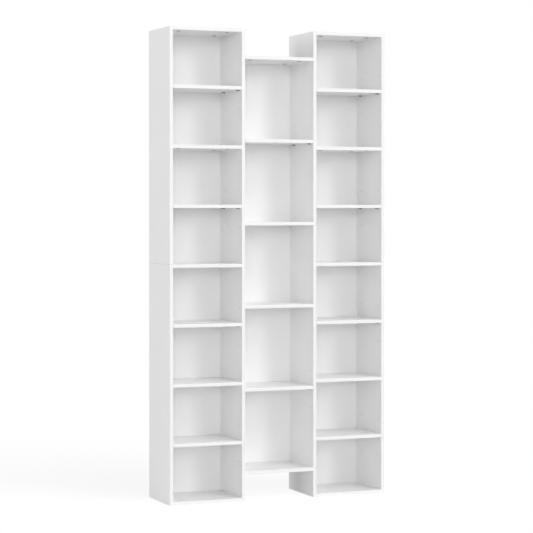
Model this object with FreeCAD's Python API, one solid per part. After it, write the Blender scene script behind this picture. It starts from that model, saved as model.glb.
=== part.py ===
import FreeCAD, Part
import os
from collections import namedtuple

# A bookcase of two full-height towers and a centre column of shelves hung between them.
# Millimetres. X runs across the case, Y from the front to the back, Z up from the floor.
# The origin is on the floor, in the middle of the case.

# Case
case_height = 2225.0
case_depth = 300.0
board_thickness = 16.0
tower_clear_width = 343.0
centre_clear_width = 350.0
centre_gap = 125.5
tower_end_drop = 7.5
edge_radius = 0.8
seam_chamfer = 0.6

# Back panels and their grooves
panel_thickness = 3.0
panel_inset = 12.0
panel_engagement = 4.0
groove_fit = 0.3

# Cam locks: each sits in a bore in the underside of a board and draws in a bolt from the side
cam_distance = 50.0
cam_row_setback = 64.0
cam_radius = 7.5
cam_fit = 0.15
cam_skin = 3.4
cam_recess = 0.2
cam_rim_radius = 10.0
cam_rim_height = 0.9
cam_cross_length = 8.0
cam_cross_width = 1.6
cam_cross_depth = 2.0
bolt_skin = 5.0
bolt_thread_radius = 2.5
bolt_collar_radius = 3.6
bolt_collar_length = 2.0
bolt_shank_radius = 3.0
bolt_neck_radius = 1.9
bolt_head_radius = 2.9
bolt_head_length = 4.0
bolt_fit = 0.1
head_fit = 0.4

# Wooden dowels: beside each cam, and upright in the seam of the sides
dowel_radius = 4.0
dowel_chamfer = 1.0
dowel_fit = 0.1
dowel_end_room = 0.5
board_dowel_offset = 32.0
board_dowel_in_board = 20.0
board_dowel_skin = 6.0
seam_dowel_length = 40.0
seam_dowel_shares = (0.14, 0.5, 0.86)

# Shelf pins and their holes
pin_row_setback = 37.0
pin_row_rear_setback = 71.0
spare_hole_spacing = 86.0
pin_shank_radius = 2.5
pin_hole_skin = 7.0
pin_fit = 0.05
pin_end_room = 0.5
pin_flange_radius = 3.2
pin_flange_thickness = 1.5
pin_tongue_length = 14.0
pin_tongue_width = 14.0
pin_tongue_thickness = 4.0
pin_tongue_corner = 4.0
pin_seat_height = 2.5
shelf_side_clearance = 0.75
shelf_rear_clearance = 1.0

# Plates that tie the lower and upper halves of each side, behind the back panels
seam_plate_length = 90.0
seam_plate_thickness = 1.5
seam_plate_margin = 1.5
seam_screw_spacing = 60.0
seam_screw_length = 12.0

# Nails that hold the back panels to the rear edges of the fixed shelves
nail_radius = 0.8
nail_head_radius = 1.8
nail_head_height = 0.8
nail_length = 20.0
nail_fit = 0.05
nail_place_shares = (-0.38, 0.0, 0.38)
nail_row_share = 0.25

# Wall brackets on the top boards of the towers
bracket_width = 40.0
bracket_leg = 40.0
bracket_height = 25.0
bracket_thickness = 2.0
bracket_inner_radius = 1.0
bracket_wall_hole_radius = 2.75
bracket_screw_spacing = 20.0
bracket_screw_share = 0.7
bracket_screw_length = 13.0

# Pan-head wood screws, for the plates and the brackets
screw_shank_radius = 1.75
screw_head_radius = 3.4
screw_head_height = 2.0
screw_cross_length = 4.0
screw_cross_width = 0.9
screw_cross_depth = 1.2
screw_fit = 0.1

# How far a cutting tool runs past the face it cuts, and how near two places are the same
overrun = 5.0
same_place = 0.001

# Boards of each column from the bottom up. A joint board has two back panels meeting behind it.
Level = namedtuple("Level", "name kind z")
tower_board_kinds = (
    ("bottom_board", "bottom"),
    ("adjustable_shelf_1", "adjustable"),
    ("fixed_shelf_1", "fixed"),
    ("adjustable_shelf_2", "adjustable"),
    ("middle_board", "joint"),
    ("adjustable_shelf_3", "adjustable"),
    ("fixed_shelf_2", "fixed"),
    ("adjustable_shelf_4", "adjustable"),
    ("top_board", "top"),
)
centre_board_kinds = (
    ("bottom_board", "bottom"),
    ("adjustable_shelf_1", "adjustable"),
    ("fixed_shelf_1", "joint"),
    ("fixed_shelf_2", "fixed"),
    ("adjustable_shelf_2", "adjustable"),
    ("top_board", "top"),
)

Vector = FreeCAD.Vector
x_axis = Vector(1, 0, 0)
y_axis = Vector(0, 1, 0)
z_axis = Vector(0, 0, 1)
origin = Vector(0, 0, 0)

# Depths, front to back
front_y = -case_depth / 2
back_y = case_depth / 2
panel_back_y = back_y - panel_inset
panel_front_y = panel_back_y - panel_thickness
cam_rows = (front_y + cam_row_setback, back_y - cam_row_setback)
dowel_rows = (cam_rows[0] + board_dowel_offset, cam_rows[1] - board_dowel_offset)
pin_rows = (front_y + pin_row_setback, back_y - pin_row_rear_setback)

# Widths, left to right
case_width = 2 * tower_clear_width + centre_clear_width + 4 * board_thickness
left_outer_x = -case_width / 2
left_bay_x = left_outer_x + board_thickness
left_inner_x = left_bay_x + tower_clear_width
centre_bay_x = left_inner_x + board_thickness
right_inner_x = centre_bay_x + centre_clear_width
right_bay_x = right_inner_x + board_thickness
right_outer_x = right_bay_x + tower_clear_width

# Sizes of fitted pieces that follow from the boards
cam_bore_depth = board_thickness - cam_skin
cam_height = cam_bore_depth - 2 * cam_recess
bolt_thread_length = board_thickness - bolt_skin
board_dowel_in_side = board_thickness - board_dowel_skin
pin_hole_depth = board_thickness - pin_hole_skin


def levels(board_kinds, low, high, end_drop):
    """Boards at an even pitch from a low to a high end, where the end bays are lower than the others."""
    last = len(board_kinds) - 1
    pitch = (high - low - board_thickness + 2 * end_drop) / last
    heights = [low] + [low + pitch * i - end_drop for i in range(1, last)] + [high - board_thickness]
    return [Level(name, kind, z) for (name, kind), z in zip(board_kinds, heights)]


Column = namedtuple("Column", "name x width low high levels")
tower_levels = levels(tower_board_kinds, 0, case_height, tower_end_drop)
centre_low = centre_gap
centre_high = case_height - centre_gap
centre_levels = levels(centre_board_kinds, centre_low, centre_high, 0)
left_column = Column("left", left_bay_x, tower_clear_width, 0, case_height, tower_levels)
centre_column = Column("centre", centre_bay_x, centre_clear_width, centre_low, centre_high, centre_levels)
right_column = Column("right", right_bay_x, tower_clear_width, 0, case_height, tower_levels)
columns = (left_column, centre_column, right_column)
towers = (left_column, right_column)


def joint_level(column):
    """The board of a column behind which its lower and upper back panels meet."""
    return [level for level in column.levels if level.kind == "joint"][0]


seam_z = joint_level(left_column).z + board_thickness

# A place on a side's face: sign says which way along X the face looks into its bay.
Place = namedtuple("Place", "x y z sign")


def bay_faces(column):
    return ((column.x, 1), (column.x + column.width, -1))


def places(column, rows, z):
    return [Place(x, y, z, sign) for x, sign in bay_faces(column) for y in rows]


def is_locked(level):
    return level.kind != "adjustable"


def is_on_floor(column, level):
    return level.kind == "bottom" and column in towers


def cam_places(column, level):
    return places(column, cam_rows, level.z + board_thickness / 2)


def dowel_places(column, level):
    return places(column, dowel_rows, level.z + board_thickness / 2)


def pin_places(column, level):
    return places(column, pin_rows, level.z - pin_seat_height)


def pin_hole_places(column, level):
    used = level.z - pin_seat_height
    heights = (used - spare_hole_spacing, used, used + spare_hole_spacing)
    return [place for z in heights for place in places(column, pin_rows, z)]


def box(x0, x1, y0, y1, z0, z1):
    return Part.makeBox(x1 - x0, y1 - y0, z1 - z0, Vector(x0, y0, z0))


def rod(place, radius, start, end):
    """A round bar along X at a place, between two distances into its bay."""
    foot = Vector(place.x + place.sign * start, place.y, place.z)
    return Part.makeCylinder(radius, end - start, foot, x_axis * place.sign)


def turned(steps):
    """A round piece along X from steps of (start, end, start radius, end radius)."""
    points = [Vector(steps[0][0], 0, 0)]
    for start, end, start_radius, end_radius in steps:
        points.append(Vector(start, 0, start_radius))
        points.append(Vector(end, 0, end_radius))
    points.append(Vector(steps[-1][1], 0, 0))
    points.append(points[0])
    return Part.Face(Part.makePolygon(points)).revolve(origin, x_axis, 360)


def placed(shape, place):
    """A copy of a piece made along X at the origin, turned into its bay and moved to its place."""
    copy = shape.copy()
    if place.sign < 0:
        copy.rotate(origin, z_axis, 180)
    copy.translate(Vector(place.x, place.y, place.z))
    return copy


def edges_along(shape, direction, test):
    """Straight edges of a shape that run along a direction and whose middle passes a test."""
    found = []
    for edge in shape.Edges:
        run = edge.Vertexes[-1].Point - edge.Vertexes[0].Point
        if run.cross(direction).Length < same_place and test(edge.CenterOfMass):
            found.append(edge)
    return found


def eased(blank, direction):
    """Rounds the front edges of a board or a side, which run along the direction."""
    front = edges_along(blank, direction, lambda point: abs(point.y - front_y) < same_place)
    return blank.makeFillet(edge_radius, front)


def cross_recess(length, width, depth):
    """A tool for a screwdriver's cross, cut down from Z 0."""
    half = length / 2
    arm = width / 2
    along = box(-half, half, -arm, arm, -depth, overrun)
    across = box(-arm, arm, -half, half, -depth, overrun)
    return along.fuse(across)


# Locked boards

def board_end_tools(column, level):
    """Bores for the cams, their bolts and the dowels in both ends of a board."""
    tools = []
    for place in cam_places(column, level):
        tools.append(rod(place, bolt_collar_radius + head_fit, -overrun, cam_distance))
        foot = Vector(place.x + place.sign * cam_distance, place.y, level.z - overrun)
        tools.append(Part.makeCylinder(cam_radius + cam_fit, overrun + cam_bore_depth, foot))
    for place in dowel_places(column, level):
        tools.append(rod(place, dowel_radius + dowel_fit, -overrun, board_dowel_in_board + dowel_end_room))
    return tools


def panel_groove(x0, x1, z0, z1):
    return box(x0, x1, panel_front_y - groove_fit, panel_back_y + groove_fit, z0, z1)


def board_groove(column, level):
    """The groove for the back panel's edge, in the face of a top or bottom board that looks inwards."""
    x0 = column.x - overrun
    x1 = column.x + column.width + overrun
    depth = panel_engagement + groove_fit
    if level.kind == "top":
        return panel_groove(x0, x1, level.z - overrun, level.z + depth)
    top = level.z + board_thickness
    return panel_groove(x0, x1, top - depth, top + overrun)


def nail_places(column, level):
    """Points on the back of the panels where nails enter a fixed shelf's rear edge."""
    middle_x = column.x + column.width / 2
    middle_z = level.z + board_thickness / 2
    offset = board_thickness * nail_row_share
    heights = (middle_z - offset, middle_z + offset) if level.kind == "joint" else (middle_z,)
    across = [middle_x + column.width * share for share in nail_place_shares]
    return [Vector(x, panel_back_y, z) for z in heights for x in across]


def nail_hole(point):
    start = point + y_axis * overrun
    return Part.makeCylinder(nail_radius + nail_fit, overrun + nail_length + nail_fit, start, -y_axis)


def is_nailed(level):
    return level.kind in ("fixed", "joint")


def locked_board(column, level):
    rear_y = panel_front_y if is_nailed(level) else back_y
    top = level.z + board_thickness
    blank = box(column.x, column.x + column.width, front_y, rear_y, level.z, top)
    tools = board_end_tools(column, level)
    if is_nailed(level):
        tools += [nail_hole(point) for point in nail_places(column, level)]
    else:
        tools.append(board_groove(column, level))
    if level.kind == "top" and column in towers:
        tools += [bracket_screw_hole(point) for point in bracket_screw_places(column)]
    return eased(blank, x_axis).cut(tools)


# Adjustable shelves

def adjustable_shelf(column, level):
    x0 = column.x + shelf_side_clearance
    x1 = column.x + column.width - shelf_side_clearance
    rear_y = panel_front_y - shelf_rear_clearance
    return eased(box(x0, x1, front_y, rear_y, level.z, level.z + board_thickness), x_axis)


# Sides

Side = namedtuple("Side", "name x column_on_left column_on_right")
sides = (
    Side("left_outer_side", left_outer_x, None, left_column),
    Side("left_inner_side", left_inner_x, left_column, centre_column),
    Side("right_inner_side", right_inner_x, centre_column, right_column),
    Side("right_outer_side", right_outer_x, right_column, None),
)


def side_faces(side):
    """The faces of a side that look into a bay, as the bay's column, the face's X and its sign."""
    faces = []
    if side.column_on_left:
        faces.append((side.column_on_left, side.x, -1))
    if side.column_on_right:
        faces.append((side.column_on_right, side.x + board_thickness, 1))
    return faces


def face_tools(column, x, sign):
    """Holes and the panel groove in one face of a side."""
    def on_face(candidates):
        return [place for place in candidates if place.sign == sign]
    bolt_hole_depth = bolt_thread_length + bolt_fit
    dowel_hole_depth = board_dowel_in_side + dowel_end_room
    groove_depth = panel_engagement + groove_fit
    tools = []
    for level in column.levels:
        if is_locked(level):
            for place in on_face(cam_places(column, level)):
                tools.append(rod(place, bolt_thread_radius + bolt_fit, -bolt_hole_depth, overrun))
            for place in on_face(dowel_places(column, level)):
                tools.append(rod(place, dowel_radius + dowel_fit, -dowel_hole_depth, overrun))
        else:
            for place in on_face(pin_hole_places(column, level)):
                tools.append(rod(place, pin_shank_radius + pin_fit, -pin_hole_depth, overrun))
    groove_ends = sorted((x - sign * groove_depth, x + sign * overrun))
    tools.append(panel_groove(groove_ends[0], groove_ends[1], column.low, column.high))
    return tools


def seam_dowel_places(side):
    middle_x = side.x + board_thickness / 2
    return [Vector(middle_x, front_y + case_depth * share, seam_z) for share in seam_dowel_shares]


def seam_dowel_hole(point):
    length = seam_dowel_length + 2 * dowel_end_room
    return Part.makeCylinder(dowel_radius + dowel_fit, length, point - z_axis * (length / 2))


def tower_face(side):
    """The face of a side that looks into a tower, where its seam plate is."""
    return [(x, sign) for column, x, sign in side_faces(side) if column in towers][0]


def seam_screw_places(side):
    x, sign = tower_face(side)
    y = back_y - panel_inset / 2
    half = seam_screw_spacing / 2
    return [Place(x, y, z, sign) for z in (seam_z - half, seam_z + half)]


def side_halves(side):
    """The lower and upper half of a side, with their meeting ends chamfered."""
    tools = [tool for face in side_faces(side) for tool in face_tools(*face)]
    tools += [seam_dowel_hole(point) for point in seam_dowel_places(side)]
    hole_radius = screw_shank_radius + screw_fit
    hole_depth = seam_screw_length + screw_fit
    tools += [rod(place, hole_radius, -hole_depth, overrun) for place in seam_screw_places(side)]
    halves = []
    for z0, z1 in ((0, seam_z), (seam_z, case_height)):
        blank = box(side.x, side.x + board_thickness, front_y, back_y, z0, z1)
        meeting = edges_along(blank, y_axis, lambda point: abs(point.z - seam_z) < same_place)
        halves.append(eased(blank.makeChamfer(seam_chamfer, meeting), z_axis).cut(tools))
    return halves


# Back panels

def back_panel(column, low, high, nailed_levels):
    x0 = column.x - panel_engagement
    x1 = column.x + column.width + panel_engagement
    panel = box(x0, x1, panel_front_y, panel_back_y, low, high)
    holes = [nail_hole(point) for level in nailed_levels for point in nail_places(column, level)]
    return panel.cut(holes)


def back_panels(column):
    """The lower and upper panel of a column, from the bottom board's groove to the top board's."""
    meeting = joint_level(column).z + board_thickness / 2
    low = column.levels[0].z + board_thickness - panel_engagement
    high = column.levels[-1].z + panel_engagement
    nailed = [level for level in column.levels if is_nailed(level)]
    below = [level for level in nailed if level.z < meeting]
    above = [level for level in nailed if level.z + board_thickness > meeting]
    return back_panel(column, low, meeting, below), back_panel(column, meeting, high, above)


# Fasteners, each made along X at the origin

def cam_lock(rimmed):
    """A round cam with a slot for the bolt's neck, a pocket for its head and a cross in its lower face.
    A rim on that face laps the board, but not on the floor, where it would be in the way."""
    axis_z = board_thickness / 2
    face_z = -cam_rim_height if rimmed else cam_recess
    top_z = cam_recess + cam_height
    neck = bolt_neck_radius + head_fit
    head = bolt_head_radius + head_fit
    reach = bolt_head_length / 2 + head_fit
    centre = cam_distance
    body = Part.makeCylinder(cam_radius, top_z - face_z, Vector(centre, 0, face_z))
    if rimmed:
        body = body.fuse(Part.makeCylinder(cam_rim_radius, cam_rim_height, Vector(centre, 0, face_z)))
    slot = box(centre - cam_radius - overrun, centre, -neck, neck, axis_z - neck, top_z + overrun)
    pocket = box(centre - reach, centre + reach, -head, head, axis_z - head, top_z + overrun)
    cross = cross_recess(cam_cross_length, cam_cross_width, cam_cross_depth)
    cross.rotate(origin, x_axis, 180)
    cross.translate(Vector(centre, 0, face_z))
    lock = body.cut([slot, pocket, cross]).removeSplitter()
    lock.translate(z_axis * -axis_z)
    return lock


def cam_bolt():
    """A bolt screwed into the side, with a collar at its face and a head that the cam grips."""
    neck_start = cam_distance - cam_radius - cam_fit
    head_start = cam_distance - bolt_head_length / 2
    head_end = cam_distance + bolt_head_length / 2
    return turned((
        (-bolt_thread_length, 0, bolt_thread_radius, bolt_thread_radius),
        (0, bolt_collar_length, bolt_collar_radius, bolt_collar_radius),
        (bolt_collar_length, neck_start, bolt_shank_radius, bolt_shank_radius),
        (neck_start, head_start, bolt_neck_radius, bolt_neck_radius),
        (head_start, head_end, bolt_head_radius, bolt_head_radius),
    ))


def dowel(start, end):
    tip_radius = dowel_radius - dowel_chamfer
    return turned((
        (start, start + dowel_chamfer, tip_radius, dowel_radius),
        (start + dowel_chamfer, end - dowel_chamfer, dowel_radius, dowel_radius),
        (end - dowel_chamfer, end, dowel_radius, tip_radius),
    ))


def shelf_pin():
    """A pin with a flange against the side and a flat tongue on top for the shelf to rest on."""
    pin = turned((
        (-pin_hole_depth + pin_end_room, 0, pin_shank_radius, pin_shank_radius),
        (0, pin_flange_thickness, pin_flange_radius, pin_flange_radius),
    ))
    half = pin_tongue_width / 2
    tongue = box(0, pin_tongue_length, -half, half, pin_seat_height - pin_tongue_thickness, pin_seat_height)
    tip = edges_along(tongue, z_axis, lambda point: point.x > pin_tongue_length - same_place)
    tongue = tongue.makeFillet(pin_tongue_corner, tip)
    above = pin_seat_height + overrun
    flat = box(0, pin_tongue_length + overrun, -overrun - half, overrun + half, pin_seat_height, above)
    return pin.cut(flat).fuse(tongue).removeSplitter()


def pan_screw(length, seat):
    """A pan-head screw along X: its head's underside is at the seat and its shank runs back from X 0."""
    crown = screw_head_height / 2
    screw = turned((
        (-length, -length + screw_shank_radius, 0, screw_shank_radius),
        (-length + screw_shank_radius, seat, screw_shank_radius, screw_shank_radius),
        (seat, seat + crown, screw_head_radius, screw_head_radius),
        (seat + crown, seat + screw_head_height, screw_head_radius, screw_head_radius - crown),
    ))
    cross = cross_recess(screw_cross_length, screw_cross_width, screw_cross_depth)
    cross.rotate(origin, y_axis, 90)
    cross.translate(x_axis * (seat + screw_head_height))
    return screw.cut(cross)


def nail():
    """A nail along X: the underside of its head is at X 0 and its shank runs back from there."""
    return turned((
        (-nail_length, -nail_length + nail_radius, 0, nail_radius),
        (-nail_length + nail_radius, 0, nail_radius, nail_radius),
        (0, nail_head_height, nail_head_radius, nail_head_radius),
    ))


def pointed_back(shape, point):
    """A copy of a piece made along X, turned so that X points to the back, at a point."""
    copy = shape.copy()
    copy.rotate(origin, z_axis, 90)
    copy.translate(point)
    return copy


def pointed_up(shape, point):
    """A copy of a piece made along X, turned so that X points up, at a point."""
    copy = shape.copy()
    copy.rotate(origin, y_axis, -90)
    copy.translate(point)
    return copy


# Seam plates

def seam_plate(side):
    x, sign = tower_face(side)
    x0, x1 = sorted((x, x + sign * seam_plate_thickness))
    half = seam_plate_length / 2
    y0 = panel_back_y + seam_plate_margin
    y1 = back_y - seam_plate_margin
    plate = box(x0, x1, y0, y1, seam_z - half, seam_z + half)
    hole_radius = screw_shank_radius + screw_fit
    return plate.cut([rod(place, hole_radius, -overrun, overrun) for place in seam_screw_places(side)])


# Wall brackets

def bracket_screw_places(column):
    """Points on the top board where a bracket's screws go in."""
    middle_x = column.x + column.width / 2
    y = back_y - bracket_leg * bracket_screw_share
    half = bracket_screw_spacing / 2
    return [Vector(x, y, case_height) for x in (middle_x - half, middle_x + half)]


def bracket_screw_hole(point):
    length = bracket_screw_length + screw_fit + overrun
    return Part.makeCylinder(screw_shank_radius + screw_fit, length, point + z_axis * overrun, -z_axis)


def bent(angle, point, radius):
    """Rounds the edge along X whose middle is at a point."""
    corner = edges_along(angle, x_axis, lambda middle: (middle - point).Length < same_place)
    return angle.makeFillet(radius, corner)


def wall_bracket(column):
    """An angle of sheet steel: one leg lies on the top board, the other stands against the wall."""
    middle_x = column.x + column.width / 2
    x0 = middle_x - bracket_width / 2
    x1 = middle_x + bracket_width / 2
    leg_top = case_height + bracket_thickness
    wall_y = back_y - bracket_thickness
    flat_leg = box(x0, x1, back_y - bracket_leg, back_y, case_height, leg_top)
    wall_leg = box(x0, x1, wall_y, back_y, case_height, case_height + bracket_height)
    angle = flat_leg.fuse(wall_leg).removeSplitter()
    inside_bend = Vector(middle_x, wall_y, leg_top)
    outside_bend = Vector(middle_x, back_y, case_height)
    angle = bent(angle, inside_bend, bracket_inner_radius)
    angle = bent(angle, outside_bend, bracket_inner_radius + bracket_thickness)
    wall_hole_z = (leg_top + case_height + bracket_height) / 2
    foot = Vector(middle_x, wall_y - overrun, wall_hole_z)
    wall_hole = Part.makeCylinder(bracket_wall_hole_radius, bracket_thickness + 2 * overrun, foot, y_axis)
    screw_holes = [bracket_screw_hole(point) for point in bracket_screw_places(column)]
    return angle.cut([wall_hole] + screw_holes)


def write(name, solids):
    Part.makeCompound(solids).exportStep(os.path.join("parts", name + ".step"))


def write_group(name, shape, put, where):
    """Writes one node of identical pieces, each put at its own place."""
    write(name, [solid for place in where for solid in put(shape, place).Solids])


def main():
    os.makedirs("parts", exist_ok=True)
    for side in sides:
        lower, upper = side_halves(side)
        write(side.name + "_lower", lower.Solids)
        write(side.name + "_upper", upper.Solids)
    locked = [(column, level) for column in columns for level in column.levels if is_locked(level)]
    loose = [(column, level) for column in columns for level in column.levels if not is_locked(level)]
    for column, level in locked:
        write(column.name + "_" + level.name, locked_board(column, level).Solids)
    for column, level in loose:
        write(column.name + "_" + level.name, adjustable_shelf(column, level).Solids)
    for column in columns:
        lower, upper = back_panels(column)
        write(column.name + "_back_panel_lower", lower.Solids)
        write(column.name + "_back_panel_upper", upper.Solids)
    nailed = [(column, level) for column, level in locked if is_nailed(level)]
    on_floor = [(column, level) for column, level in locked if is_on_floor(column, level)]
    off_floor = [(column, level) for column, level in locked if not is_on_floor(column, level)]
    plain_cams = [place for column, level in on_floor for place in cam_places(column, level)]
    rimmed_cams = [place for column, level in off_floor for place in cam_places(column, level)]
    all_dowels = [place for column, level in locked for place in dowel_places(column, level)]
    all_pins = [place for column, level in loose for place in pin_places(column, level)]
    all_nails = [point for column, level in nailed for point in nail_places(column, level)]
    all_seam_dowels = [point for side in sides for point in seam_dowel_places(side)]
    all_seam_screws = [place for side in sides for place in seam_screw_places(side)]
    all_bracket_screws = [point for column in towers for point in bracket_screw_places(column)]
    cams = [placed(cam_lock(False), place) for place in plain_cams]
    cams += [placed(cam_lock(True), place) for place in rimmed_cams]
    write("cam_locks", [solid for cam in cams for solid in cam.Solids])
    write_group("cam_bolts", cam_bolt(), placed, plain_cams + rimmed_cams)
    write_group("board_dowels", dowel(-board_dowel_in_side, board_dowel_in_board), placed, all_dowels)
    write_group("shelf_pins", shelf_pin(), placed, all_pins)
    seam_dowel = dowel(-seam_dowel_length / 2, seam_dowel_length / 2)
    write_group("seam_dowels", seam_dowel, pointed_up, all_seam_dowels)
    write("seam_plates", [solid for side in sides for solid in seam_plate(side).Solids])
    seam_screw = pan_screw(seam_screw_length, seam_plate_thickness)
    write_group("seam_plate_screws", seam_screw, placed, all_seam_screws)
    write_group("back_panel_nails", nail(), pointed_back, all_nails)
    write("wall_brackets", [solid for column in towers for solid in wall_bracket(column).Solids])
    bracket_screw = pan_screw(bracket_screw_length, bracket_thickness)
    write_group("wall_bracket_screws", bracket_screw, pointed_up, all_bracket_screws)


main()
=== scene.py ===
import math
import bmesh
import bpy
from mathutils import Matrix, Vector


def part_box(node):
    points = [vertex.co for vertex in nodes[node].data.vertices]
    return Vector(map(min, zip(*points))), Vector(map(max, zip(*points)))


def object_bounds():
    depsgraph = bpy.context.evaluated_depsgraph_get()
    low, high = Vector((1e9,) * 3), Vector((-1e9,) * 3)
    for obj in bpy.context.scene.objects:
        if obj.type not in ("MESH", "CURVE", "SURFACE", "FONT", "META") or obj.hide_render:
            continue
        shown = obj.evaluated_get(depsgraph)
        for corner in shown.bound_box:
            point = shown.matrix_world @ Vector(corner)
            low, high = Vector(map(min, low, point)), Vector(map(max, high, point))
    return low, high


# The looks of a white melamine bookcase: two towers, and a centre column of shelves hung between them.
# Metres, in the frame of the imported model: X across, Y from the front to the back, Z up from the floor.
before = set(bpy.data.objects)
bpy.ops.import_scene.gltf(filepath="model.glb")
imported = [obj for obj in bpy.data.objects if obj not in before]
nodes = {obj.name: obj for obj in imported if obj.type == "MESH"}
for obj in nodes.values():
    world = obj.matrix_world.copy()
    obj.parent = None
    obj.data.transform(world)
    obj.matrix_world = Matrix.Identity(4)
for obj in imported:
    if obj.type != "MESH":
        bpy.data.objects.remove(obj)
cad_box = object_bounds()
scene = bpy.context.scene
scene.view_settings.view_transform = "Standard"

# Camera, as fitted to the edges of the boards in the photograph, with its angles in degrees
camera_place = (-3.476, -8.517, 1.3795)
camera_turn = -22.17
camera_tilt = 0.934
camera_lens = 129.15
camera_sensor = 36.0
camera_shift = -0.05

# Boards: a skin of melamine on each face, a band glued on each front edge, bare chips inside
skin = 0.0007
band = 0.0008
glue_line = 0.00006
seam_chamfer = 0.0006
panel_coat = 0.0002

# Whites and their flecks, the dust in the glue lines, and the dust and painted shade in the seams and bores
melamine_white = 0.95
band_white = 0.90
white_drift = 0.012
fleck_share = 0.35
fleck_relief = 0.5
lacquer_low = 0.938
lacquer_high = 0.96
dust_and_painted_shade_grey = (0.42, 0.40, 0.37, 1.0)
glue_dust = 0.25
seam_dust_and_painted_shade = 0.55
bore_dust_and_painted_shade_colour = (0.06, 0.045, 0.03, 1.0)
bore_dust_and_painted_shade_share = 0.7

# Bare chips and fibres: how rough and dusty they are, and how far they stand out beside a white face
chip_rough = 0.9
chip_relief = 6.0
chip_dust = 0.5
noise_middle = 0.5
fibre_rough = 0.78
fibre_relief = 5.0

# Places read from the frame
front_y = cad_box[0].y
back_y = cad_box[1].y
outer_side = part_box("left_outer_side_upper")
inner_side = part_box("left_inner_side_upper")
case_top = outer_side[1].z
seam_z = outer_side[0].z
board = outer_side[1].x - outer_side[0].x
panel_front_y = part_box("left_back_panel_lower")[0].y


# Shader nodes

def linked(tree, kind, inputs=None, **settings):
    """A new shader node, with each input set to a value or linked to a socket."""
    made = tree.nodes.new(kind)
    for name, value in settings.items():
        setattr(made, name, value)
    for name, value in (inputs or {}).items():
        if isinstance(value, bpy.types.NodeSocket):
            tree.links.new(value, made.inputs[name])
        else:
            made.inputs[name].default_value = value
    return made


def calc(tree, operation, *terms):
    """The result of one sum on values or sockets."""
    return linked(tree, "ShaderNodeMath", dict(enumerate(terms)), operation=operation).outputs[0]


def grey(value):
    """A neutral colour."""
    return (value, value, value, 1.0)


def mixed(tree, share, first, second):
    """The first colour where the share is 0, the second where it is 1."""
    made = linked(tree, "ShaderNodeMix", {0: share, 6: first, 7: second}, data_type="RGBA")
    return made.outputs[2]


def between(tree, share, low, high):
    """A number from low to high, as the share goes from 0 to 1."""
    return linked(tree, "ShaderNodeMapRange", {"Value": share, "To Min": low, "To Max": high}).outputs[0]


def noise(tree, place, scale, detail=2.0):
    """A soft random share, from 0 to 1 and mostly near its middle."""
    made = linked(tree, "ShaderNodeTexNoise", {"Vector": place, "Scale": scale, "Detail": detail})
    return made.outputs["Fac"]


def joined(tree, first, second, share):
    """Two noises as one: this share of the first, and the rest of the second."""
    return calc(tree, "MULTIPLY_ADD", first, share, calc(tree, "MULTIPLY", second, 1.0 - share))


def ramp(tree, share, *stops):
    """A colour ramp through stops of (place, colour)."""
    made = linked(tree, "ShaderNodeValToRGB", {"Fac": share})
    elements = made.color_ramp.elements
    for element, (place, colour) in zip(elements, stops):
        element.position = place
        element.color = colour
    for place, colour in stops[2:]:
        elements.new(place).color = colour
    return made.outputs["Color"]


def clouded(tree, share, dark, light, margin=0.3):
    """From dark to light over the middle of a noise, with a margin of each at the ends of its range."""
    return ramp(tree, share, (margin, dark), (1.0 - margin, light))


def drifting_white(tree, share, white):
    """A white that is a little darker or lighter from place to place."""
    return clouded(tree, share, grey(white - white_drift), grey(white + white_drift))


def new_finish(name):
    """A new material: its node tree, its shader and the Object coordinates."""
    finish = bpy.data.materials.new(name)
    finish.use_nodes = True
    tree = finish.node_tree
    place = tree.nodes.new("ShaderNodeTexCoord").outputs["Object"]
    return finish, tree, tree.nodes["Principled BSDF"], place


def split(tree, place):
    """The X, Y and Z of a place."""
    return linked(tree, "ShaderNodeSeparateXYZ", {0: place}).outputs


def stretched(tree, place, x, y, z):
    """Places scaled along each axis, for a pattern that runs along one of them."""
    return linked(tree, "ShaderNodeMapping", {"Vector": place, "Scale": (x, y, z)}).outputs[0]


def bump(tree, shader, height, strength, distance):
    """Relief on a shader's surface."""
    made = linked(tree, "ShaderNodeBump", {"Height": height, "Strength": strength, "Distance": distance})
    tree.links.new(made.outputs["Normal"], shader.inputs["Normal"])


def surface(tree, shader, colour, rough):
    """The colour and the roughness of a shader's surface."""
    tree.links.new(colour, shader.inputs["Base Color"])
    tree.links.new(rough, shader.inputs["Roughness"])


# Finishes

def chips(tree, place):
    """The colour and the height of bare particle board: pressed chips, with dust between them."""
    flakes = linked(tree, "ShaderNodeTexVoronoi", {"Vector": place, "Scale": 330.0})
    shade = split(tree, flakes.outputs["Color"])[0]
    dust = calc(tree, "SUBTRACT", noise(tree, place, scale=1500.0), noise_middle)
    share = calc(tree, "MULTIPLY_ADD", dust, chip_dust, shade)
    dark = (0.30, 0.19, 0.09, 1.0)
    middle = (0.48, 0.33, 0.18, 1.0)
    light = (0.66, 0.50, 0.31, 1.0)
    return ramp(tree, share, (0.0, dark), (1.0, light), (0.5, middle)), share


def seam_line(tree, axes, from_middle):
    """1 in the chamfers where the halves of the outer sides meet, and 0 elsewhere."""
    level = calc(tree, "COMPARE", axes["Z"], seam_z, seam_chamfer)
    return calc(tree, "MULTIPLY", level, calc(tree, "GREATER_THAN", from_middle, -outer_side[1].x))


def bare_core(tree, axes, along, first_middle, pitch):
    """1 inside boards that lie at a pitch along an axis, under their skins and behind the front band, and 0
    elsewhere. The upper ends of the sides are banded too."""
    depth = calc(tree, "PINGPONG", calc(tree, "SUBTRACT", along, first_middle), pitch / 2)
    core = calc(tree, "LESS_THAN", depth, board / 2 - skin)
    core = calc(tree, "MULTIPLY", core, calc(tree, "GREATER_THAN", axes["Y"], front_y + band))
    return calc(tree, "MULTIPLY", core, calc(tree, "LESS_THAN", axes["Z"], case_top - band))


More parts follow.
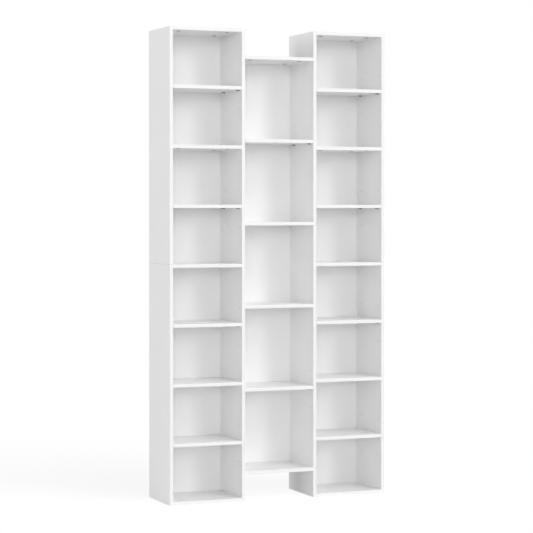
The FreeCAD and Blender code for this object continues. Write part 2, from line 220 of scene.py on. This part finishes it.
def melamine(name, across=None, first_middle=0.0, pitch=1.0):
    """White melamine with a satin grain, and a band on its front edge. Where boards of this finish lie at a
    pitch along an axis, bare particle board shows in their rear edges, and darker in bores and grooves,
    where dust and painted shade are mixed in. The seam chamfers of the outer sides get dust and painted
    shade too."""
    finish, tree, shader, place = new_finish(name)
    axes = split(tree, place)
    cloud = noise(tree, place, scale=4.0, detail=3.0)
    fleck = noise(tree, place, scale=900.0, detail=1.0)
    tone = joined(tree, fleck, cloud, share=fleck_share)
    face_white = drifting_white(tree, tone, melamine_white)
    edge_white = drifting_white(tree, tone, band_white)
    colour = mixed(tree, calc(tree, "LESS_THAN", axes["Y"], front_y + band), face_white, edge_white)
    joint = calc(tree, "COMPARE", axes["Y"], front_y + band, glue_line)
    colour = mixed(tree, calc(tree, "MULTIPLY", joint, glue_dust), colour, dust_and_painted_shade_grey)
    rough = between(tree, noise(tree, place, scale=26.0, detail=3.0), low=0.36, high=0.48)
    pores = noise(tree, place, scale=1100.0, detail=1.0)
    height = calc(tree, "MULTIPLY_ADD", fleck, fleck_relief, pores)
    if across:
        along = axes[across]
        if across == "X":
            along = calc(tree, "ABSOLUTE", along)
            # Painted shade: the seam chamfers of the outer sides are painted darker, as dust and painted
            # shade in the joint
            seam = seam_line(tree, axes, along)
            colour = mixed(tree, calc(tree, "MULTIPLY", seam, seam_dust_and_painted_shade), colour, dust_and_painted_shade_grey)
        core = bare_core(tree, axes, along, first_middle, pitch)
        chip_colour, chip_height = chips(tree, place)
        # Painted shade: bare chips inside bores and grooves are painted darker, as dust and painted shade
        # in the recess
        bore = calc(tree, "LESS_THAN", axes["Y"], back_y - band)
        chip_colour = mixed(tree, calc(tree, "MULTIPLY", bore, bore_dust_and_painted_shade_share), chip_colour, bore_dust_and_painted_shade_colour)
        colour = mixed(tree, core, colour, chip_colour)
        rough = calc(tree, "MAXIMUM", rough, calc(tree, "MULTIPLY", core, chip_rough))
        height = calc(tree, "MULTIPLY_ADD", calc(tree, "MULTIPLY", core, chip_height), chip_relief, height)
    surface(tree, shader, colour, rough)
    bump(tree, shader, height, strength=0.22, distance=0.00005)
    return finish


def hardboard():
    """Thin hardboard: white lacquer on the front, bare brown fibre on the back and the edges."""
    finish, tree, shader, place = new_finish("white_faced_hardboard")
    bare = calc(tree, "GREATER_THAN", split(tree, place)["Y"], panel_front_y + panel_coat)
    cloud = noise(tree, place, scale=5.0, detail=3.0)
    white = clouded(tree, cloud, grey(lacquer_low), grey(lacquer_high))
    fibre = noise(tree, stretched(tree, place, x=1.0, y=1.0, z=0.35), scale=420.0, detail=4.0)
    stain = noise(tree, place, scale=3.0)
    dark = (0.22, 0.135, 0.07, 1.0)
    light = (0.40, 0.265, 0.15, 1.0)
    brown = clouded(tree, joined(tree, stain, fibre, share=0.25), dark, light, margin=0.25)
    rough = between(tree, noise(tree, place, scale=30.0, detail=3.0), low=0.38, high=0.5)
    rough = calc(tree, "MAXIMUM", rough, calc(tree, "MULTIPLY", bare, fibre_rough))
    pores = noise(tree, place, scale=800.0, detail=1.0)
    height = calc(tree, "MULTIPLY_ADD", calc(tree, "MULTIPLY", bare, fibre), fibre_relief, pores)
    surface(tree, shader, mixed(tree, bare, white, brown), rough)
    bump(tree, shader, height, strength=0.2, distance=0.00005)
    return finish


def metal(name, dark, light, metallic, smooth, rough, mottle):
    """Plated or cast metal: cloudy between two tones, with an uneven polish and fine pits."""
    finish, tree, shader, place = new_finish(name)
    cloud = noise(tree, place, scale=mottle, detail=4.0)
    polish = noise(tree, place, scale=mottle * 3, detail=3.0)
    pits = noise(tree, place, scale=mottle * 5)
    surface(tree, shader, clouded(tree, cloud, dark, light), between(tree, polish, smooth, rough))
    shader.inputs["Metallic"].default_value = metallic
    bump(tree, shader, pits, strength=0.15, distance=0.00004)
    return finish


def beech():
    """Turned beech: pale, with short dark rays along the grain."""
    finish, tree, shader, place = new_finish("turned_beech")
    grain = noise(tree, stretched(tree, place, x=60.0, y=700.0, z=700.0), scale=1.0, detail=4.0)
    rays = noise(tree, stretched(tree, place, x=300.0, y=2200.0, z=2200.0), scale=1.0)
    share = joined(tree, rays, grain, share=0.4)
    dark = (0.47, 0.29, 0.15, 1.0)
    light = (0.68, 0.48, 0.29, 1.0)
    colour = clouded(tree, share, dark, light, margin=0.35)
    surface(tree, shader, colour, between(tree, grain, low=0.5, high=0.7))
    bump(tree, shader, share, strength=0.3, distance=0.0001)
    return finish


def dress(finish, *names):
    """Puts a finish on the CAD nodes of these names."""
    for name in names:
        for slot in nodes[name].material_slots:
            slot.material = finish


def dress_case():
    """Every node of the frame gets its finish. The sides are mirrored, so theirs goes by the distance from
    the middle of the case."""
    side_first = (inner_side[0].x + inner_side[1].x) / -2
    side_pitch = (outer_side[0].x + outer_side[1].x) / -2 - side_first
    end_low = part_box("left_bottom_board")[0].z
    end_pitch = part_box("left_top_board")[0].z - end_low
    tower_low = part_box("left_adjustable_shelf_1")[0].z
    tower_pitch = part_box("left_fixed_shelf_1")[0].z - tower_low
    centre_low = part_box("centre_bottom_board")[0].z
    centre_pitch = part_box("centre_adjustable_shelf_1")[0].z - centre_low
    side_white = melamine("white_side_boards", "X", side_first, side_pitch)
    end_white = melamine("white_end_boards", "Z", end_low + board / 2, end_pitch)
    tower_white = melamine("white_tower_boards", "Z", tower_low + board / 2, tower_pitch)
    centre_white = melamine("white_centre_boards", "Z", centre_low + board / 2, centre_pitch)
    shelf_white = melamine("white_loose_shelves")
    panel_white = hardboard()
    for name in nodes:
        if "_side_" in name:
            dress(side_white, name)
        elif "_adjustable_shelf_" in name:
            dress(shelf_white, name)
        elif "_back_panel_" in name:
            dress(panel_white, name)
        elif name.startswith("centre_"):
            dress(centre_white, name)
        elif name.endswith(("_bottom_board", "_top_board")):
            dress(end_white, name)
        elif name.startswith(("left_", "right_")):
            dress(tower_white, name)
    cast = metal("grey_cast_zinc", dark=grey(0.13), light=grey(0.20), metallic=0.2,
                 smooth=0.4, rough=0.6, mottle=300.0)
    plated = metal("grey_plated_steel", dark=grey(0.14), light=grey(0.22), metallic=0.3,
                   smooth=0.3, rough=0.45, mottle=400.0)
    zinc = metal("bright_zinc", dark=(0.55, 0.57, 0.60, 1.0), light=(0.72, 0.74, 0.76, 1.0), metallic=1.0,
                 smooth=0.26, rough=0.42, mottle=120.0)
    dress(cast, "cam_locks")
    dress(plated, "shelf_pins")
    dress(zinc, "cam_bolts", "seam_plates", "seam_plate_screws", "back_panel_nails")
    dress(zinc, "wall_brackets", "wall_bracket_screws")
    dress(beech(), "board_dowels", "seam_dowels")


# Studio

def toward(azimuth, elevation):
    """The way to a lamp: azimuth 0 is straight in front of the case, and more is to its right."""
    turn = math.radians(azimuth)
    rise = math.radians(elevation)
    return Vector((math.sin(turn) * math.cos(rise), -math.cos(turn) * math.cos(rise), math.sin(rise)))


def soft_lamp(name, azimuth, elevation, spread, strength):
    """A far softbox, as wide as the spread in degrees."""
    lamp_data = bpy.data.lights.new(name, "SUN")
    lamp_data.energy = strength
    lamp_data.angle = math.radians(spread)
    lamp = bpy.data.objects.new(name, lamp_data)
    lamp.rotation_euler = toward(azimuth, elevation).to_track_quat("Z", "Y").to_euler()
    scene.collection.objects.link(lamp)


def seen_directly(tree):
    """1 on camera, glossy and transmission rays, and 0 on the rest."""
    path = tree.nodes.new("ShaderNodeLightPath").outputs
    either = calc(tree, "MAXIMUM", path["Is Camera Ray"], path["Is Glossy Ray"])
    return calc(tree, "MAXIMUM", either, path["Is Transmission Ray"])


def studio_dome(strength):
    """Even light from all round, seen as plain white."""
    world = bpy.data.worlds.new("studio_dome")
    scene.world = world
    world.use_nodes = True
    tree = world.node_tree
    background = tree.nodes["Background"]
    background.inputs["Color"].default_value = grey(1.0)
    tree.links.new(between(tree, seen_directly(tree), strength, 1.0), background.inputs["Strength"])


def studio_floor(size, drop, pale, white_share, white_strength):
    """A pale floor that goes to white and keeps the shadow of the case. Seen directly, its own light and
    the share of white that is mixed in add up to 1 where no shadow falls."""
    shape = bmesh.new()
    bmesh.ops.create_grid(shape, x_segments=1, y_segments=1, size=size)
    bmesh.ops.translate(shape, verts=shape.verts, vec=(0.0, 0.0, -drop))
    mesh = bpy.data.meshes.new("studio_floor")
    shape.to_mesh(mesh)
    shape.free()
    floor = bpy.data.objects.new("studio_floor", mesh)
    scene.collection.objects.link(floor)
    finish = bpy.data.materials.new("pale_floor")
    finish.use_nodes = True
    tree = finish.node_tree
    tree.nodes.remove(tree.nodes["Principled BSDF"])
    matt = linked(tree, "ShaderNodeBsdfDiffuse", {"Color": grey(pale)}).outputs[0]
    white = linked(tree, "ShaderNodeEmission", {"Strength": white_strength}).outputs[0]
    share = calc(tree, "MULTIPLY", seen_directly(tree), white_share)
    both = linked(tree, "ShaderNodeMixShader", {0: share, 1: matt, 2: white}).outputs[0]
    tree.links.new(both, tree.nodes["Material Output"].inputs["Surface"])
    mesh.materials.append(finish)


def photo_camera():
    """The photograph's view: from the left front, turned to the right and tilted a little down."""
    camera_data = bpy.data.cameras.new("photo_camera")
    camera_data.sensor_width = camera_sensor
    camera_data.lens = camera_lens
    camera_data.shift_y = camera_shift
    camera = bpy.data.objects.new("photo_camera", camera_data)
    camera.location = camera_place
    camera.rotation_euler = (math.radians(90.0 - camera_tilt), 0.0, math.radians(camera_turn))
    scene.collection.objects.link(camera)
    scene.camera = camera


dress_case()
photo_camera()
studio_dome(strength=0.21)
studio_floor(size=30.0, drop=0.0004, pale=0.85, white_share=0.75, white_strength=1.15)
soft_lamp("right_softbox", azimuth=25.0, elevation=15.0, spread=16.0, strength=0.45)
soft_lamp("high_front_softbox", azimuth=10.0, elevation=40.0, spread=30.0, strength=0.44)
soft_lamp("high_right_softbox", azimuth=40.0, elevation=50.0, spread=30.0, strength=0.84)
soft_lamp("front_fill", azimuth=-12.0, elevation=2.0, spread=20.0, strength=0.50)
soft_lamp("camera_fill", azimuth=-22.0, elevation=8.0, spread=20.0, strength=0.31)
soft_lamp("left_front_fill", azimuth=-60.0, elevation=10.0, spread=30.0, strength=0.385)
soft_lamp("left_fill", azimuth=-100.0, elevation=5.0, spread=20.0, strength=0.68)
soft_lamp("rear_fill", azimuth=165.0, elevation=15.0, spread=16.0, strength=0.70)
